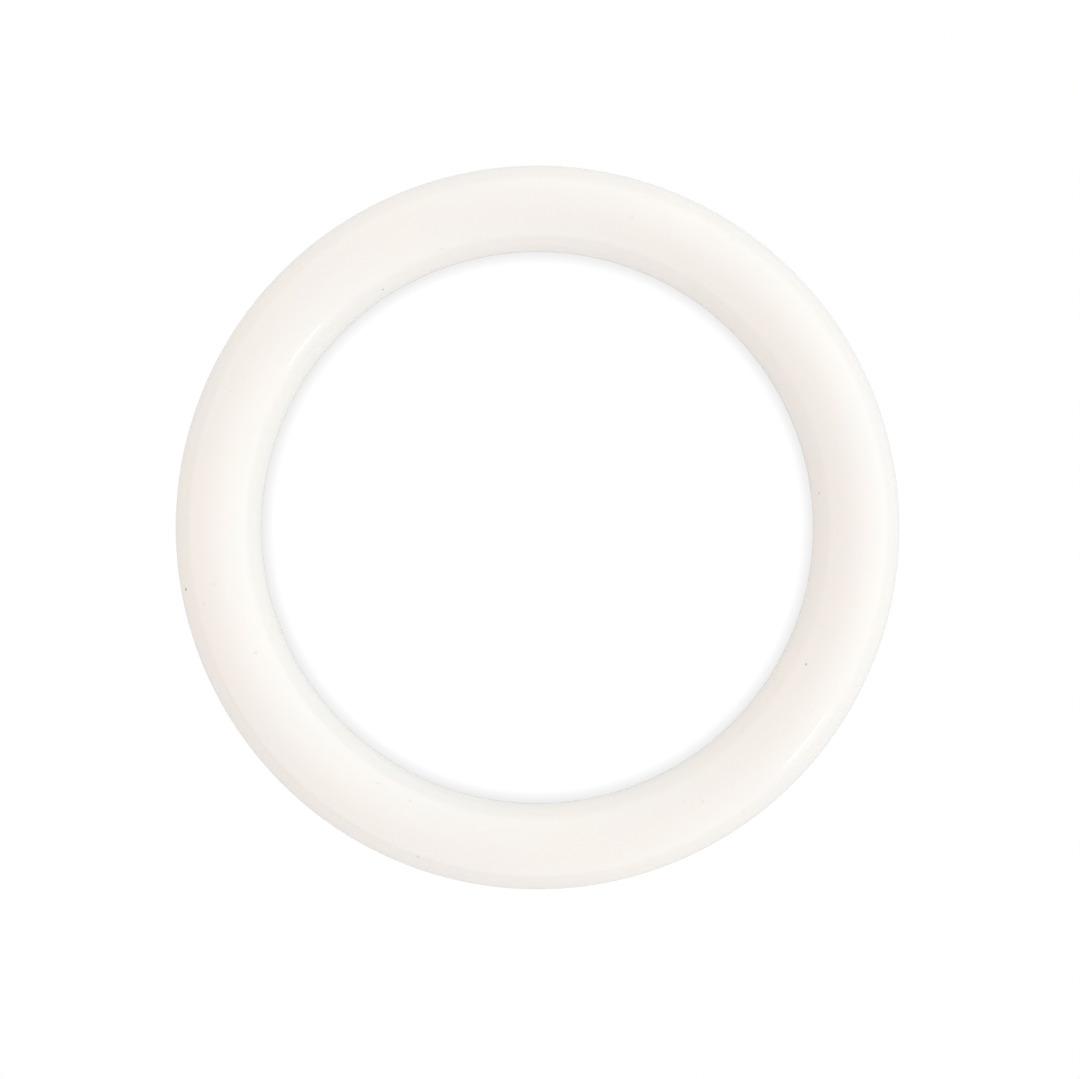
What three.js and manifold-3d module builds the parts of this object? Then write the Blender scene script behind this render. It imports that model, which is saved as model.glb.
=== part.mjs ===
// Gymnastics ring: two moulded plastic half shells, bonded at their middle plane
// around a steel core. Millimetres, +Z up, origin at the ring's centre.

import * as THREE from 'three';
import { mergeVertices } from 'three/addons/utils/BufferGeometryUtils.js';
import Module from 'manifold-3d';

const wasm = await Module();
wasm.setup();

// Driving dimensions.
const HOLE_DIAMETER = 180;      // clear width inside the ring
const GRIP_DIAMETER = 28;       // round section that the hand holds
const WALL = 4;                 // thickness of the moulded shells
const CORE_DIAMETER = 10;       // steel bar
const CORE_CLEARANCE = 0.3;     // between the bar and its saddles

// Ribs that stiffen the shells and hold the bar in the middle of the section.
const RIB_COUNT = 12;
const RIB_THICKNESS = 2;
const RIB_SETBACK = 0.2;        // below the joint, so the rims meet first
const RIB_ROOT = 0.6;           // depth that a rib runs into the wall

// Tongue and groove along the middle of both rims.
const TONGUE = { width: 1.2, height: 1.6 };
const GROOVE = { width: 1.6, height: 1.8 };

// Keys that bridge the outer groove, so the halves can't turn on each other.
const KEY_COUNT = 4;
const KEY_LENGTH = 5;
const KEY_WIDTH = 2;
const KEY_CLEARANCE = 0.4;
const KEY_SETBACK = 0.2;

// The butt weld's bead around the bar.
const WELD_DIAMETER = 11.6;
const WELD_LENGTH = 4;

// Facets, and the distance under which two corners are one.
const MERGE_DISTANCE = 1e-3;
const RING_STEPS = 60;          // around the ring
const SECTION_SIDES = 24;       // around the grip
const CHANNEL_STEPS = 8;        // over half of the inner channel
const RIB_STEPS = 4;            // over a quarter of a rib's arcs
const CORE_SIDES = 12;          // around the bar

// Sizes that follow from the ones above.
const GRIP_RADIUS = GRIP_DIAMETER / 2;
const CENTRE_RADIUS = HOLE_DIAMETER / 2 + GRIP_RADIUS;
const CHANNEL_RADIUS = GRIP_RADIUS - WALL;
const JOINT_RADIUS = GRIP_RADIUS - WALL / 2;
const CORE_RADIUS = CORE_DIAMETER / 2;
const SADDLE_RADIUS = CORE_RADIUS + CORE_CLEARANCE;
const RIB_PITCH = 2 * Math.PI / RIB_COUNT;
const FIRST_RIB = Math.PI / RING_STEPS;   // half a facet round, to lie inside one facet
const BETWEEN_RIBS = FIRST_RIB + RIB_PITCH / 2;

// A point of the section, by its distance and direction from the section's centre.
function sectionPoint(radius, angle) {
  return new THREE.Vector2(
    CENTRE_RADIUS + radius * Math.cos(angle),
    radius * Math.sin(angle),
  );
}

// Half of the grip's outline. Its flats touch the true circle, so the lowest is level.
function gripArc(start) {
  const step = 2 * Math.PI / SECTION_SIDES;
  const cornerRadius = GRIP_RADIUS / Math.cos(step / 2);
  const points = [];
  for (let i = 0; i < SECTION_SIDES / 2; i += 1) {
    points.push(sectionPoint(cornerRadius, start + (i + 0.5) * step));
  }
  return points;
}

function channelArc(start) {
  const points = [];
  for (let i = 1; i < CHANNEL_STEPS; i += 1) {
    points.push(sectionPoint(CHANNEL_RADIUS, start + Math.PI * (1 - i / CHANNEL_STEPS)));
  }
  return points;
}

// The rim on one side of the section, with its tongue or groove, from the skin inward.
function rim(side, feature) {
  const near = JOINT_RADIUS + feature.width / 2;
  const far = JOINT_RADIUS - feature.width / 2;
  const steps = [
    [GRIP_RADIUS, 0],
    [near, 0],
    [near, feature.height],
    [far, feature.height],
    [far, 0],
    [CHANNEL_RADIUS, 0],
  ];
  return steps.map(([radius, height]) => new THREE.Vector2(CENTRE_RADIUS + side * radius, height));
}

// start is the direction in which the half's outline begins: 0 for the upper half.
function halfRing(start, feature) {
  const side = Math.round(Math.cos(start));
  const profile = [
    ...gripArc(start),
    ...rim(-side, feature),
    ...channelArc(start),
    ...rim(side, feature).reverse(),
  ];
  profile.push(profile[0].clone());
  return new THREE.LatheGeometry(profile, RING_STEPS);
}

// One rib: the part of the channel between the bar's saddle and the wall.
function rib(start) {
  const outline = new THREE.Shape();
  const rootRadius = CHANNEL_RADIUS + RIB_ROOT;
  const rootLift = Math.asin(RIB_SETBACK / rootRadius);
  const saddleLift = Math.asin(RIB_SETBACK / SADDLE_RADIUS);
  const end = start + Math.PI;
  outline.absarc(CENTRE_RADIUS, 0, rootRadius, start + rootLift, end - rootLift, false);
  outline.absarc(CENTRE_RADIUS, 0, SADDLE_RADIUS, end - saddleLift, start + saddleLift, true);
  outline.closePath();
  const options = { depth: RIB_THICKNESS, bevelEnabled: false, curveSegments: RIB_STEPS };
  const geometry = new THREE.ExtrudeGeometry(outline, options);
  return geometry.translate(0, 0, -RIB_THICKNESS / 2);
}

// A block across the outer groove, between two heights.
function keyBlock(length, bottom, top) {
  const geometry = new THREE.BoxGeometry(KEY_WIDTH, top - bottom, length);
  return geometry.translate(CENTRE_RADIUS + JOINT_RADIUS, (top + bottom) / 2, 0);
}

function toSolid(geometry) {
  const bare = geometry.clone();
  bare.deleteAttribute('normal');
  bare.deleteAttribute('uv');
  const merged = mergeVertices(bare, MERGE_DISTANCE);
  const vertProperties = new Float32Array(merged.attributes.position.array);
  const triVerts = new Uint32Array(merged.index.array);
  return new wasm.Manifold(new wasm.Mesh({ numProp: 3, vertProperties, triVerts }));
}

function toGeometry(solid) {
  const { vertProperties, triVerts } = solid.getMesh();
  const geometry = new THREE.BufferGeometry();
  geometry.setAttribute('position', new THREE.BufferAttribute(vertProperties, 3));
  geometry.setIndex(new THREE.BufferAttribute(triVerts, 1));
  geometry.rotateX(Math.PI / 2);
  geometry.computeVertexNormals();
  return geometry;
}

// Copies of one geometry, turned evenly about the ring's axis.
function around(geometry, count, offset) {
  const copies = [];
  for (let i = 0; i < count; i += 1) {
    copies.push(toSolid(geometry.clone().rotateY(offset + i * 2 * Math.PI / count)));
  }
  return copies;
}

function ribbedHalf(start, feature) {
  const ribs = around(rib(start), RIB_COUNT, FIRST_RIB);
  return ribs.reduce((shell, piece) => shell.add(piece), toSolid(halfRing(start, feature)));
}

function upperShell() {
  const key = keyBlock(KEY_LENGTH, KEY_SETBACK, GROOVE.height + KEY_SETBACK);
  const keys = around(key, KEY_COUNT, BETWEEN_RIBS);
  return toGeometry(keys.reduce((shell, piece) => shell.add(piece), ribbedHalf(0, GROOVE)));
}

function lowerShell() {
  const slot = keyBlock(KEY_LENGTH + 2 * KEY_CLEARANCE, -KEY_SETBACK, TONGUE.height + KEY_SETBACK);
  const slots = around(slot, KEY_COUNT, BETWEEN_RIBS);
  return toGeometry(slots.reduce((shell, piece) => shell.subtract(piece), ribbedHalf(Math.PI, TONGUE)));
}

// The bar, with its weld half-way between two ribs and in line with a key.
function coreRing() {
  const profile = [];
  for (let i = 0; i <= CORE_SIDES; i += 1) {
    profile.push(sectionPoint(CORE_RADIUS, i * 2 * Math.PI / CORE_SIDES));
  }
  const weld = new THREE.SphereGeometry(WELD_DIAMETER / 2, CORE_SIDES, CORE_SIDES);
  weld.scale(1, 1, WELD_LENGTH / WELD_DIAMETER);
  weld.translate(CENTRE_RADIUS, 0, 0);
  weld.rotateY(BETWEEN_RIBS);
  return toGeometry(toSolid(new THREE.LatheGeometry(profile, RING_STEPS)).add(toSolid(weld)));
}

function makePiece(name, geometry, look) {
  const material = new THREE.MeshStandardMaterial({ ...look, flatShading: true });
  const mesh = new THREE.Mesh(geometry, material);
  mesh.name = name;
  return mesh;
}

const WHITE_PLASTIC = { color: 0xf6f2ec, roughness: 0.18, metalness: 0 };
const STEEL = { color: 0x8c8f93, roughness: 0.4, metalness: 1 };

const ring = new THREE.Group();
ring.add(makePiece('upper_shell', upperShell(), WHITE_PLASTIC));
ring.add(makePiece('lower_shell', lowerShell(), WHITE_PLASTIC));
ring.add(makePiece('core_ring', coreRing(), STEEL));

export default ring;
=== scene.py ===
"""Looks for the gymnastics ring: fine meshes, materials, floor, lights and camera, in metres."""

import math

import bmesh
import bpy
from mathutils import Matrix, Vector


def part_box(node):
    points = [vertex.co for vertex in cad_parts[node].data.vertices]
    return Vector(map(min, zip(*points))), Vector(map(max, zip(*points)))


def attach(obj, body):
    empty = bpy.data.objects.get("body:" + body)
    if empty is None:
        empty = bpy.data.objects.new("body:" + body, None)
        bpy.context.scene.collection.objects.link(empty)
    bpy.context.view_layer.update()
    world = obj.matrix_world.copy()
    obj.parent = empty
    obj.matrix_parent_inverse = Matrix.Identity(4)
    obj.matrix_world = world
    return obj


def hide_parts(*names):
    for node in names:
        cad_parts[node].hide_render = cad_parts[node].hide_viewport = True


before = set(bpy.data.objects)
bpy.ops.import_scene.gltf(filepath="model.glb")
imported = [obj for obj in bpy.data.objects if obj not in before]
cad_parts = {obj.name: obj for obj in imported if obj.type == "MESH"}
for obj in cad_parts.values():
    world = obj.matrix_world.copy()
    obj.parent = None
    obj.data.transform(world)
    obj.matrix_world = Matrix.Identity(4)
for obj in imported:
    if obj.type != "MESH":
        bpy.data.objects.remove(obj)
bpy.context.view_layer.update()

MM = 0.001
MICRON = 0.000001

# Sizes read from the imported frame.
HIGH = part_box("upper_shell")[1]
CORE_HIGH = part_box("core_ring")[1]
OUTER_RADIUS = HIGH.x
GRIP_RADIUS = HIGH.z
CENTRE_RADIUS = OUTER_RADIUS - GRIP_RADIUS
CORE_RADIUS = CORE_HIGH.x - CENTRE_RADIUS
FLOOR_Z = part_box("lower_shell")[0].z

# Sizes inside the shells, as in the CAD part.
WALL = 4 * MM
CHANNEL_RADIUS = GRIP_RADIUS - WALL
JOINT_RADIUS = GRIP_RADIUS - WALL / 2
SADDLE_RADIUS = CORE_RADIUS + 0.3 * MM
RIB_COUNT = 12
RIB_THICKNESS = 2 * MM
RIB_SETBACK = 0.2 * MM
FIRST_RIB = math.radians(3)
TONGUE = (1.2 * MM, 1.6 * MM)
GROOVE = (1.6 * MM, 1.8 * MM)
KEY_COUNT = 4
KEY_LENGTH = 5 * MM
KEY_CLEARANCE = 0.4 * MM
FIRST_KEY = FIRST_RIB + math.pi / RIB_COUNT
WELD_ANGLE = FIRST_KEY
WELD_HALF = 2 * MM

# The small round at each rim, and the share of it at which its one facet turns.
SEAM_ROUND = 0.22 * MM
SEAM_TURN = 0.35

# How finely the meshes are cut.
RING_STEPS = 360
SKIN_STEPS = 48
CHANNEL_STEPS = 24
CORE_SIDES = 48
WELD_STEPS = 8
WELD_MARGIN_STEPS = 4

# Angles (in radians) and points (in metres) this close count as one, and edges past this angle stay sharp.
SAME_ANGLE = 1e-4
SAME_POINT = 1e-7
SHARP_EDGE = math.radians(32)

# The share of a mark's radius within which it has its full strength.
MARK_CORE = 0.4

# Marks in the plastic: degrees round the ring, degrees up the grip from its outer side, and radius.
DARK_SPECKS = [
    (-170, 35, 0.60 * MM),
]
BROWN_SPECKS = [
    (123, 150, 0.50 * MM),
    (-27, 120, 0.55 * MM),
    (7, 150, 0.48 * MM),
]
AMBER_SPECKS = [
    (-170, 85, 1.00 * MM),
    (-167, 65, 0.90 * MM),
    (56, 55, 1.40 * MM),
    (72, 55, 0.95 * MM),
    (73, 90, 1.00 * MM),
]
PITS = [
    (-156, 110, 0.60 * MM),
    (-115, 120, 0.48 * MM),
    (-122, 120, 0.42 * MM),
    (-110, 50, 0.75 * MM),
    (109, 130, 0.46 * MM),
    (-59, 95, 0.50 * MM),
]


# The camera: height over the ring's middle, width of view there, and shift as a share of the picture.
CAMERA_HEIGHT = 0.85
VIEW_WIDTH = 0.3526
CAMERA_SHIFT = (0.0023, -0.0111)


def make_camera():
    """A camera that looks straight down."""
    data = bpy.data.cameras.new("camera")
    data.sensor_width = 36
    data.lens = data.sensor_width * CAMERA_HEIGHT / VIEW_WIDTH
    data.shift_x, data.shift_y = CAMERA_SHIFT
    camera = bpy.data.objects.new("camera", data)
    bpy.context.scene.collection.objects.link(camera)
    camera.location = (0, 0, CAMERA_HEIGHT)
    bpy.context.scene.camera = camera


# --- meshes ---


def section_point(radius, angle):
    """A point (r, z) in the grip's section, at that radius and angle from its centre."""
    return CENTRE_RADIUS + radius * math.cos(angle), radius * math.sin(angle)


def skin(start):
    """Half of the grip's outline, up to the small round at each rim."""
    ends = math.asin(SEAM_ROUND / GRIP_RADIUS)
    points = []
    for i in range(SKIN_STEPS + 1):
        points.append(section_point(GRIP_RADIUS, start + ends + (math.pi - 2 * ends) * i / SKIN_STEPS))
    return points


def rim(side, width, height):
    """A flat rim at half height, from the skin to the channel, with its tongue or groove."""
    near, far = JOINT_RADIUS + width / 2, JOINT_RADIUS - width / 2
    steps = [
        (GRIP_RADIUS - SEAM_ROUND * SEAM_TURN, SEAM_ROUND * SEAM_TURN),
        (GRIP_RADIUS - SEAM_ROUND, 0),
        (near, 0),
        (near, height),
        (far, height),
        (far, 0),
        (CHANNEL_RADIUS, 0),
    ]
    return [(CENTRE_RADIUS + side * radius, z) for radius, z in steps]


def channel(start, ribbed):
    """The wall of the channel, or at a rib the saddle that the bar lies in."""
    lift = math.asin(RIB_SETBACK / CHANNEL_RADIUS)
    saddle_lift = math.asin(RIB_SETBACK / SADDLE_RADIUS)
    radius, inset = (SADDLE_RADIUS, saddle_lift) if ribbed else (CHANNEL_RADIUS, 2 * lift)
    end = start + math.pi
    points = [section_point(CHANNEL_RADIUS, end - lift)]
    for i in range(CHANNEL_STEPS + 1):
        share = i / CHANNEL_STEPS
        points.append(section_point(radius, end - inset - (math.pi - 2 * inset) * share))
    points.append(section_point(CHANNEL_RADIUS, start + lift))
    return points


def half_profile(start, feature, ribbed, keyed):
    """One shell's section. Where there is a key, the outer rim has no tongue or groove."""
    side = round(math.cos(start))
    width, depth = feature
    heights = {1: 0 if keyed else depth, -1: depth}
    first = rim(-side, width, heights[-side])
    last = rim(side, width, heights[side])
    for points in (first, last):
        reach, height = points[0]
        points[0] = (reach, side * height)
    return skin(start) + first + channel(start, ribbed) + last[::-1]


def stations(key_length):
    """Angles round the ring with what the section holds there: (angle, ribbed, keyed)."""
    rib_half = RIB_THICKNESS / 2 / CENTRE_RADIUS
    key_half = key_length / 2 / (CENTRE_RADIUS + JOINT_RADIUS)
    features = []
    for i in range(RIB_COUNT):
        middle = FIRST_RIB + 2 * math.pi * i / RIB_COUNT
        features.append((middle - rib_half, middle + rib_half, True, False))
    for i in range(KEY_COUNT):
        middle = FIRST_KEY + 2 * math.pi * i / KEY_COUNT
        features.append((middle - key_half, middle + key_half, False, True))
    rings = []
    for i in range(RING_STEPS):
        angle = 2 * math.pi * i / RING_STEPS
        if not any(low - SAME_ANGLE < angle < high + SAME_ANGLE for low, high, _, _ in features):
            rings.append((angle, 0, False, False))
    for low, high, ribbed, keyed in features:
        rings += [(low, 0, False, False), (low, 1, ribbed, keyed)]
        rings += [(high, 0, ribbed, keyed), (high, 1, False, False)]
    rings.sort(key=lambda ring: ring[:2])
    return [(angle, ribbed, keyed) for angle, _, ribbed, keyed in rings]


def swept_mesh(name, rings):
    """A closed mesh from (angle, closed profile) pairs that go once round the ring, in order."""
    mesh = bmesh.new()
    loops = []
    for angle, profile in rings:
        across, along = math.cos(angle), math.sin(angle)
        loops.append([mesh.verts.new((r * across, r * along, z)) for r, z in profile])
    for here, there in zip(loops, loops[1:] + loops[:1]):
        for i in range(len(here)):
            j = (i + 1) % len(here)
            mesh.faces.new((here[i], there[i], there[j], here[j]))
    bmesh.ops.remove_doubles(mesh, verts=mesh.verts, dist=SAME_POINT)
    bmesh.ops.recalc_face_normals(mesh, faces=mesh.faces)
    data = bpy.data.meshes.new(name)
    mesh.to_mesh(data)
    mesh.free()
    piece = bpy.data.objects.new(name, data)
    bpy.context.scene.collection.objects.link(piece)
    data.shade_smooth()
    data.set_sharp_from_angle(angle=SHARP_EDGE)
    return piece


def make_shell(name, start, feature, key_length):
    rings = []
    for angle, ribbed, keyed in stations(key_length):
        rings.append((angle, half_profile(start, feature, ribbed, keyed)))
    return swept_mesh(name, rings)


def make_core():
    """The bar, which swells to a bead at its weld."""
    profile = [section_point(CORE_RADIUS, 2 * math.pi * i / CORE_SIDES) for i in range(CORE_SIDES)]
    weld_half = WELD_HALF / CENTRE_RADIUS
    bead = CORE_HIGH.z - CORE_RADIUS
    outermost = WELD_STEPS + WELD_MARGIN_STEPS
    angles = [2 * math.pi * i / RING_STEPS for i in range(RING_STEPS)]
    angles += [WELD_ANGLE + weld_half * i / WELD_STEPS for i in range(-outermost, outermost + 1)]
    rings = []
    for angle in sorted(angles):
        offset = (angle - WELD_ANGLE) / weld_half
        swell = bead * math.sqrt(max(0, 1 - offset * offset))
        growth = 1 + swell / CORE_RADIUS
        points = [(CENTRE_RADIUS + (r - CENTRE_RADIUS) * growth, z * growth) for r, z in profile]
        rings.append((angle, points))
    return swept_mesh("core_bar", rings)


# --- materials ---


class Graph:
    """Adds shader nodes to one node tree, joining each new node's inputs as it is made."""

    def __init__(self, tree):
        self.tree = tree

    def feed(self, socket, value):
        if isinstance(value, bpy.types.NodeSocket):
            self.tree.links.new(value, socket)
        else:
            socket.default_value = value

    def node(self, kind, inputs, **settings):
        made = self.tree.nodes.new("ShaderNode" + kind)
        for name, value in settings.items():
            setattr(made, name, value)
        for name, value in inputs.items():
            self.feed(made.inputs[name], value)
        return made

    def place(self):
        return self.node("TexCoord", {}).outputs["Object"]

    def math(self, operation, *values):
        return self.node("Math", dict(enumerate(values)), operation=operation).outputs[0]

    def noise(self, place, size, detail=2.0):
        """Soft noise from 0 to 1, with features of about that size."""
        inputs = {"Vector": place, "Scale": 1 / size, "Detail": detail}
        return self.node("TexNoise", inputs).outputs["Fac"]

    def spread(self, value, low, high, start=0.0, end=1.0):
        """Carries low..high to start..end, smoothly and no further."""
        inputs = {"Value": value, "From Min": low, "From Max": high, "To Min": start, "To Max": end}
        made = self.node("MapRange", inputs, interpolation_type="SMOOTHSTEP")
        return made.outputs["Result"]

    def spread_evenly(self, value, start, end):
        """Carries 0..1 to start..end."""
        return self.node("MapRange", {"Value": value, "To Min": start, "To Max": end}).outputs["Result"]

    def blend(self, share, first, second):
        """A colour between first and second."""
        made = self.node("Mix", {0: share, 6: first, 7: second}, data_type="RGBA")
        return made.outputs[2]

    def ramp(self, value, stops):
        """A colour that goes through the stops, each a (position, colour) pair."""
        node = self.node("ValToRGB", {"Fac": value})
        elements = node.color_ramp.elements
        while len(elements) < len(stops):
            elements.new(0.5)
        for element, (position, colour) in zip(elements, stops):
            element.position = position
            element.color = colour + (1,)
        return node.outputs["Color"]

    def spots(self, place, marks):
        """1 inside any of the round marks on the grip, and 0 elsewhere."""
        total = 0.0
        for around, up, radius in marks:
            reach, height = section_point(GRIP_RADIUS, math.radians(up))
            turn = math.radians(around)
            centre = (reach * math.cos(turn), reach * math.sin(turn), height)
            gap = self.node("VectorMath", {0: place, 1: centre}, operation="DISTANCE").outputs["Value"]
            total = self.math("MAXIMUM", total, self.spread(gap, radius, MARK_CORE * radius))
        return total

    def dust(self, place, spacing, radius, share):
        """Random specks: one point in each cell, and only this share of the cells."""
        inputs = {"Vector": place, "Scale": 1 / spacing}
        cells = self.node("TexVoronoi", inputs)
        near = self.spread(cells.outputs["Distance"], radius / spacing, MARK_CORE * radius / spacing)
        pick = self.node("SeparateXYZ", {0: cells.outputs["Color"]}).outputs[0]
        return self.math("MULTIPLY", near, self.math("LESS_THAN", pick, share))

    def bump(self, microns):
        """A surface normal from heights in microns."""
        return self.node("Bump", {"Height": microns, "Distance": MICRON}).outputs["Normal"]


def new_material(name, values):
    """A material, its graph and its shader, with the values that are the same all over."""
    material = bpy.data.materials.new(name)
    material.use_nodes = True
    shader = material.node_tree.nodes["Principled BSDF"]
    for socket, value in values.items():
        shader.inputs[socket].default_value = value
    return material, Graph(material.node_tree), shader


MILK = (0.804, 0.780, 0.752, 1)
CREAM = (0.816, 0.784, 0.744, 1)
SPECK_BROWN = (0.10, 0.075, 0.055, 1)
SPECK_AMBER = (0.74, 0.58, 0.34, 1)

# The colour's unevenness: sizes, the noise's range that counts, and how strong each kind of mark is.
CLOUD_SIZE = 45 * MM
CLOUD_RANGE = (0.38, 0.62)
GRAIN_SIZE = 0.9 * MM
GRAIN_RANGE = (0.3, 0.7)
GRAIN_STRENGTH = 0.03
AMBER_STRENGTH = 0.20
# The specks are dark in themselves; the pits are darkened as painted shade inside them.
SPECKS_AND_PIT_SHADE = [(PITS, 0.12), (BROWN_SPECKS, 0.4), (DARK_SPECKS, 0.9)]
DUST_SPACING = 9 * MM
DUST_RADIUS = 0.2 * MM
DUST_SHARE = 0.4
DUST_STRENGTH = 0.4

# The surface: sizes across it, and heights in microns.
WAVE_SIZE = 15 * MM
WAVE_HEIGHT = 60.0
PEEL_SIZE = 1.4 * MM
PEEL_HEIGHT = 1.2
PIT_HEIGHT = -70.0

# Where hands have dulled it: size of the patches, the noise's range that counts, and the roughness.
HANDLED_SIZE = 22 * MM
HANDLED_RANGE = (0.4, 0.7)
PLASTIC_ROUGHNESS = (0.07, 0.13)


def plastic_colour(graph, place):
    """Milky white with faint clouds and grain, a few specks caught in it, and painted shade darkening its
    pits.
    """
    clouds = graph.spread(graph.noise(place, CLOUD_SIZE, 3), *CLOUD_RANGE)
    colour = graph.blend(clouds, MILK, CREAM)
    grain = graph.spread(graph.noise(place, GRAIN_SIZE), *GRAIN_RANGE, 0.0, GRAIN_STRENGTH)
    colour = graph.blend(grain, colour, SPECK_AMBER)
    amber = graph.math("MULTIPLY", graph.spots(place, AMBER_SPECKS), AMBER_STRENGTH)
    colour = graph.blend(amber, colour, SPECK_AMBER)
    dust = graph.dust(place, DUST_SPACING, DUST_RADIUS, DUST_SHARE)
    dark = graph.math("MULTIPLY", dust, DUST_STRENGTH)
    # The specks' own dark colour, and painted shade in the pits.
    for marks, strength in SPECKS_AND_PIT_SHADE:
        dark = graph.math("MAXIMUM", dark, graph.math("MULTIPLY", graph.spots(place, marks), strength))
    return graph.blend(dark, colour, SPECK_BROWN)


def plastic_normal(graph, place):
    """Slow waves left by moulding, a fine orange peel, and small pits."""
    waves = graph.math("MULTIPLY", graph.noise(place, WAVE_SIZE, 1), WAVE_HEIGHT)
    peel = graph.math("MULTIPLY", graph.noise(place, PEEL_SIZE, 1), PEEL_HEIGHT)
    pits = graph.math("MULTIPLY", graph.spots(place, PITS), PIT_HEIGHT)
    return graph.bump(graph.math("ADD", graph.math("ADD", waves, peel), pits))


def plastic():
    """Glossy white plastic that lets a little light in under its skin."""
    values = {"IOR": 1.5, "Subsurface Weight": 0.12, "Subsurface Scale": 1 * MM}
    material, graph, shader = new_material("white_plastic", values)
    shader.inputs["Subsurface Radius"].default_value = (1.6, 1.1, 0.7)
    place = graph.place()
    handled = graph.spread(graph.noise(place, HANDLED_SIZE, 4), *HANDLED_RANGE, *PLASTIC_ROUGHNESS)
    graph.feed(shader.inputs["Base Color"], plastic_colour(graph, place))
    graph.feed(shader.inputs["Roughness"], handled)
    graph.feed(shader.inputs["Normal"], plastic_normal(graph, place))
    return material


STEEL_GREY = (0.52, 0.52, 0.53, 1)
STEEL_DARK = (0.36, 0.36, 0.37, 1)
WELD_POINT = (CENTRE_RADIUS * math.cos(WELD_ANGLE), CENTRE_RADIUS * math.sin(WELD_ANGLE), 0)

# The lines that drawing left: how wide and long they are, their height in microns, and how they look.
LINE_WIDTH = 0.25 * MM
LINE_LENGTH = 30 * MM
LINE_HEIGHT = 4.0
LINE_RANGE = (0.35, 0.65)
LINE_STRENGTH = 0.35
LINE_GLOSS_RANGE = (0.3, 0.7)
LINE_ROUGHNESS = (0.24, 0.42)

# The darker patches that were rolled in: their size, their height in microns, and how they look.
PATCH_SIZE = 12 * MM
PATCH_HEIGHT = 6.0
PATCH_RANGE = (0.5, 0.75)
PATCH_STRENGTH = 0.6

# The colours that the weld's heat left, by the distance from it, up to HEAT_REACH.
HEAT_REACH = 20 * MM
HEAT_COLOURS = [
    (0.0, (0.24, 0.25, 0.29)),
    (0.25, (0.20, 0.24, 0.36)),
    (0.45, (0.38, 0.26, 0.34)),
    (0.70, (0.58, 0.46, 0.26)),
    (1.0, (0.52, 0.52, 0.53)),
]


def drawn_lines(graph, place):
    """Noise from 0 to 1 that is fine round the bar and long along it."""
    axes = graph.node("SeparateXYZ", {0: place}).outputs
    flat = graph.node("CombineXYZ", {"X": axes["X"], "Y": axes["Y"]}).outputs[0]
    reach = graph.node("VectorMath", {0: flat}, operation="LENGTH").outputs["Value"]
    turn = graph.math("ARCTAN2", axes["Z"], graph.math("SUBTRACT", reach, CENTRE_RADIUS))
    across = graph.math("MULTIPLY", turn, CORE_RADIUS / LINE_WIDTH)
    along = graph.node("VectorMath", {0: flat, "Scale": 1 / LINE_LENGTH}, operation="SCALE").outputs[0]
    upwards = graph.node("CombineXYZ", {"Z": across}).outputs[0]
    stretched = graph.node("VectorMath", {0: along, 1: upwards}, operation="ADD").outputs[0]
    return graph.noise(stretched, 1, 3)


def steel():
    """Bright drawn steel, with rolled-in darker patches and the heat colours of the bar's weld."""
    material, graph, shader = new_material("bar_steel", {"Metallic": 1.0})
    place = graph.place()
    lines = drawn_lines(graph, place)
    patches = graph.spread(graph.noise(place, PATCH_SIZE, 4), *PATCH_RANGE, 0.0, PATCH_STRENGTH)
    colour = graph.blend(patches, STEEL_GREY, STEEL_DARK)
    colour = graph.blend(graph.spread(lines, *LINE_RANGE, 0.0, LINE_STRENGTH), colour, STEEL_DARK)
    gap = graph.node("VectorMath", {0: place, 1: WELD_POINT}, operation="DISTANCE").outputs["Value"]
    nearness = graph.spread(gap, 0, HEAT_REACH, 1, 0)
    heat = graph.ramp(graph.math("DIVIDE", gap, HEAT_REACH), HEAT_COLOURS)
    graph.feed(shader.inputs["Base Color"], graph.blend(nearness, colour, heat))
    graph.feed(shader.inputs["Roughness"], graph.spread(lines, *LINE_GLOSS_RANGE, *LINE_ROUGHNESS))
    raised = graph.math("MULTIPLY", patches, PATCH_HEIGHT)
    height = graph.math("ADD", graph.math("MULTIPLY", lines, LINE_HEIGHT), raised)
    graph.feed(shader.inputs["Normal"], graph.bump(height))
    return material


# --- stage ---

# The studio's light by the height of the direction, from 0 at the horizon to 1 straight up.
WALL_LIGHT = [
    (0.00, (0.55, 0.60, 0.60)),
    (0.15, (1.25, 1.30, 1.30)),
    (0.30, (1.55, 1.55, 1.55)),
    (0.50, (1.30, 1.35, 1.35)),
    (0.80, (1.05, 1.05, 1.05)),
    (1.00, (0.95, 0.80, 0.80)),
]
# What the windows' sides have more, and the other sides less: direction, and light by height.
WINDOWS = [
    (math.radians(40), [(0.00, (0.45, 0.40, 0.30)), (0.20, (0.0, 0.0, 0.0))]),
    (math.radians(15), [(0.00, (0.10, 0.10, 0.20)), (0.25, (0.15, 0.25, 0.30))]),
]

# The floor's width, and how the ring sees the floor: its albedo, and the light that it gives off.
FLOOR_WIDTH = 8
FLOOR_ALBEDO = (0.4, 0.4, 0.4, 1)
FLOOR_GLOW = 0.4

# To the camera the floor is overexposed, but for a thin shadow at the ring's foot.
SHADOW_REACH = 7.5 * MM
SHADOW_DEPTH = 0.42

# The strip lamp: distance from the ring's axis, direction, height, size and power.
STRIP_AWAY = 1.0
STRIP_SIDE = math.radians(-38.3)
STRIP_HEIGHT = 0.47
STRIP_SIZE = (0.178, 0.045)
STRIP_POWER = 0.23


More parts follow.
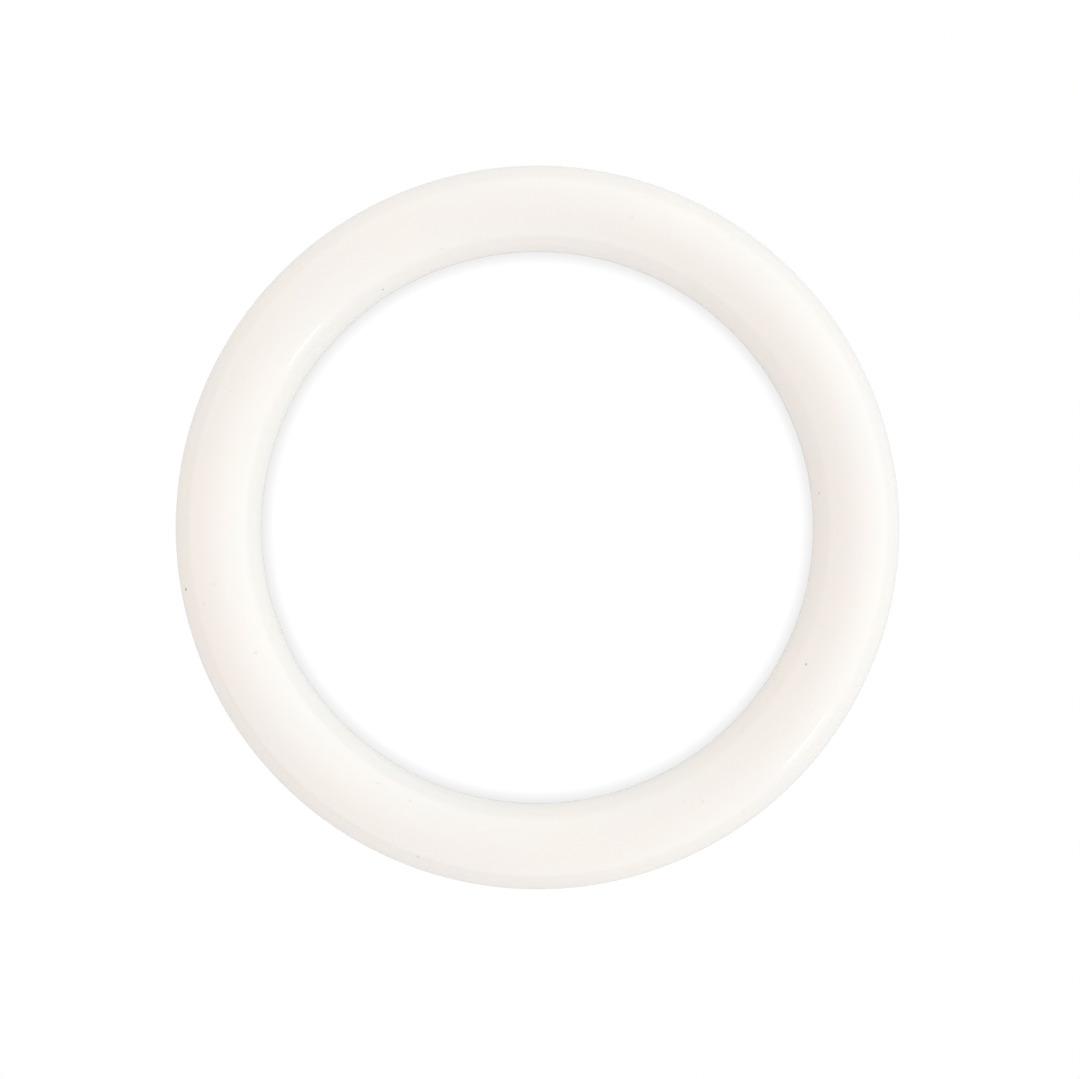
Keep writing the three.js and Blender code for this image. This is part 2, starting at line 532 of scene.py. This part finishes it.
def make_floor():
    """A white floor that the ring lies on."""
    bpy.ops.mesh.primitive_plane_add(size=FLOOR_WIDTH, location=(0, 0, FLOOR_Z))
    floor = bpy.context.object
    floor.name = "floor"
    values = {"Base Color": FLOOR_ALBEDO, "Specular IOR Level": 0, "Emission Color": (1, 1, 1, 1)}
    material, graph, shader = new_material("floor_white", values)
    shader.inputs["Emission Strength"].default_value = FLOOR_GLOW
    open_sky = graph.node("AmbientOcclusion", {"Distance": SHADOW_REACH}).outputs["AO"]
    white = graph.spread_evenly(open_sky, 1 - SHADOW_DEPTH, 1)
    overexposed = graph.node("Emission", {"Strength": white}).outputs[0]
    seen = graph.node("LightPath", {}).outputs["Is Camera Ray"]
    either = graph.node("MixShader", {0: seen, 1: shader.outputs[0], 2: overexposed}).outputs[0]
    graph.feed(material.node_tree.nodes["Material Output"].inputs["Surface"], either)
    floor.data.materials.append(material)


def make_strip():
    """A narrow lamp that faces the ring and isn't seen itself."""
    data = bpy.data.lights.new("strip", "AREA")
    data.shape = "RECTANGLE"
    data.size, data.size_y = STRIP_SIZE
    data.energy = STRIP_POWER
    strip = bpy.data.objects.new("strip", data)
    bpy.context.scene.collection.objects.link(strip)
    strip.location = (STRIP_AWAY * math.cos(STRIP_SIDE), STRIP_AWAY * math.sin(STRIP_SIDE), STRIP_HEIGHT)
    strip.rotation_euler = (-strip.location).to_track_quat("-Z", "Y").to_euler()
    strip.visible_camera = False


def make_world():
    """A white studio, brighter towards its windows, and plain white to the eye."""
    world = bpy.data.worlds.new("studio")
    bpy.context.scene.world = world
    world.use_nodes = True
    graph = Graph(world.node_tree)
    direction = graph.node("TexCoord", {}).outputs["Generated"]
    height = graph.node("SeparateXYZ", {0: direction}).outputs["Z"]
    light = graph.ramp(height, WALL_LIGHT)
    for side, stops in WINDOWS:
        towards = (math.cos(side), math.sin(side), 0)
        share = graph.node("VectorMath", {0: direction, 1: towards}, operation="DOT_PRODUCT").outputs["Value"]
        window = graph.node("VectorMath", {0: graph.ramp(height, stops), "Scale": share}, operation="SCALE")
        light = graph.node("VectorMath", {0: light, 1: window.outputs[0]}, operation="ADD").outputs[0]
    seen = graph.node("LightPath", {}).outputs["Is Camera Ray"]
    background = world.node_tree.nodes["Background"]
    graph.feed(background.inputs["Color"], graph.blend(seen, light, (1, 1, 1, 1)))
    background.inputs["Strength"].default_value = 1.0


make_camera()
white = plastic()
upper = make_shell("upper_half", 0, GROOVE, KEY_LENGTH)
lower = make_shell("lower_half", math.pi, TONGUE, KEY_LENGTH + 2 * KEY_CLEARANCE)
for piece, node in ((upper, "upper_shell"), (lower, "lower_shell")):
    piece.data.materials.append(white)
    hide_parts(node)
    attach(piece, "root")
core = make_core()
core.data.materials.append(steel())
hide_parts("core_ring")
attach(core, "root")

make_floor()
make_world()
make_strip()
bpy.context.scene.view_settings.view_transform = "Standard"
